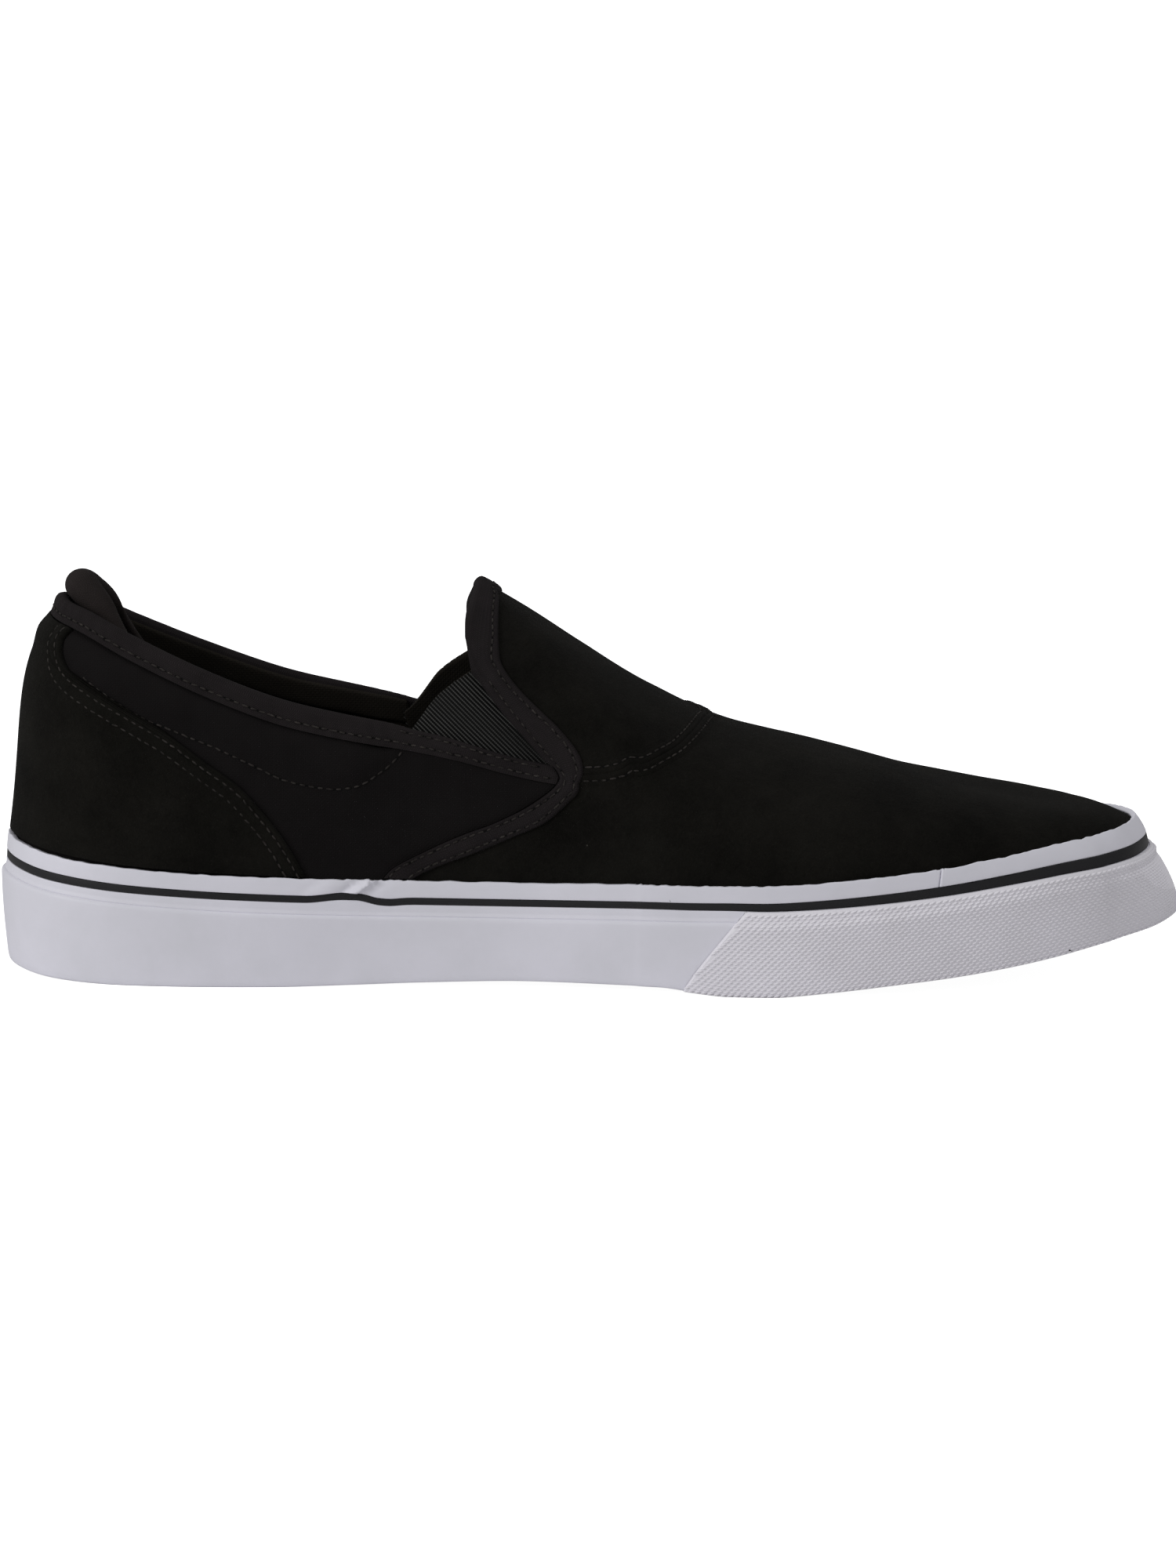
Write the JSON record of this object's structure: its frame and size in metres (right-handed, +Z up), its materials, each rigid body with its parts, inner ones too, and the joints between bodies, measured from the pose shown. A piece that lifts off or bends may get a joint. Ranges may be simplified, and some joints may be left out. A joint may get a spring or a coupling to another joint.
{
  "type": "slip-on sneaker",
  "caption": "Low slip-on sneaker for the left foot, with elastic side gores, a padded collar and a thick white rubber sole with a toe bumper.",
  "frame": {"origin": "on the floor, under the middle of the shoe's box", "axes": "+X from heel to toe, +Y to the outer (lateral) side of the left foot, +Z up"},
  "size_m": [0.2996, 0.1078, 0.1015],
  "materials": {
    "outsole_rubber": "matt black rubber",
    "white_rubber": "satin off-white rubber",
    "stripe_rubber": "satin black rubber",
    "bumper_rubber": "off-white rubber with a fine raised grain",
    "insole_fabric": "matt black cloth",
    "suede": "black suede, napped",
    "canvas": "matt black canvas",
    "binding": "matt black woven binding",
    "elastic": "ribbed black elastic",
    "lining": "soft black knit",
    "thread": "dark grey sewing thread"
  },
  "bodies": {
    "root": {"outsole": "outsole_rubber", "sidewall": "white_rubber", "foxing": "white_rubber", "pinstripe": "stripe_rubber", "toe_bumper": "bumper_rubber", "insole": "insole_fabric", "upper": "suede", "heel_counter": "suede", "collar_binding": "binding", "flap_binding": "binding", "gore_medial": "elastic", "gore_lateral": "elastic", "heel_pad": "lining"}
  },
  "joints": []
}
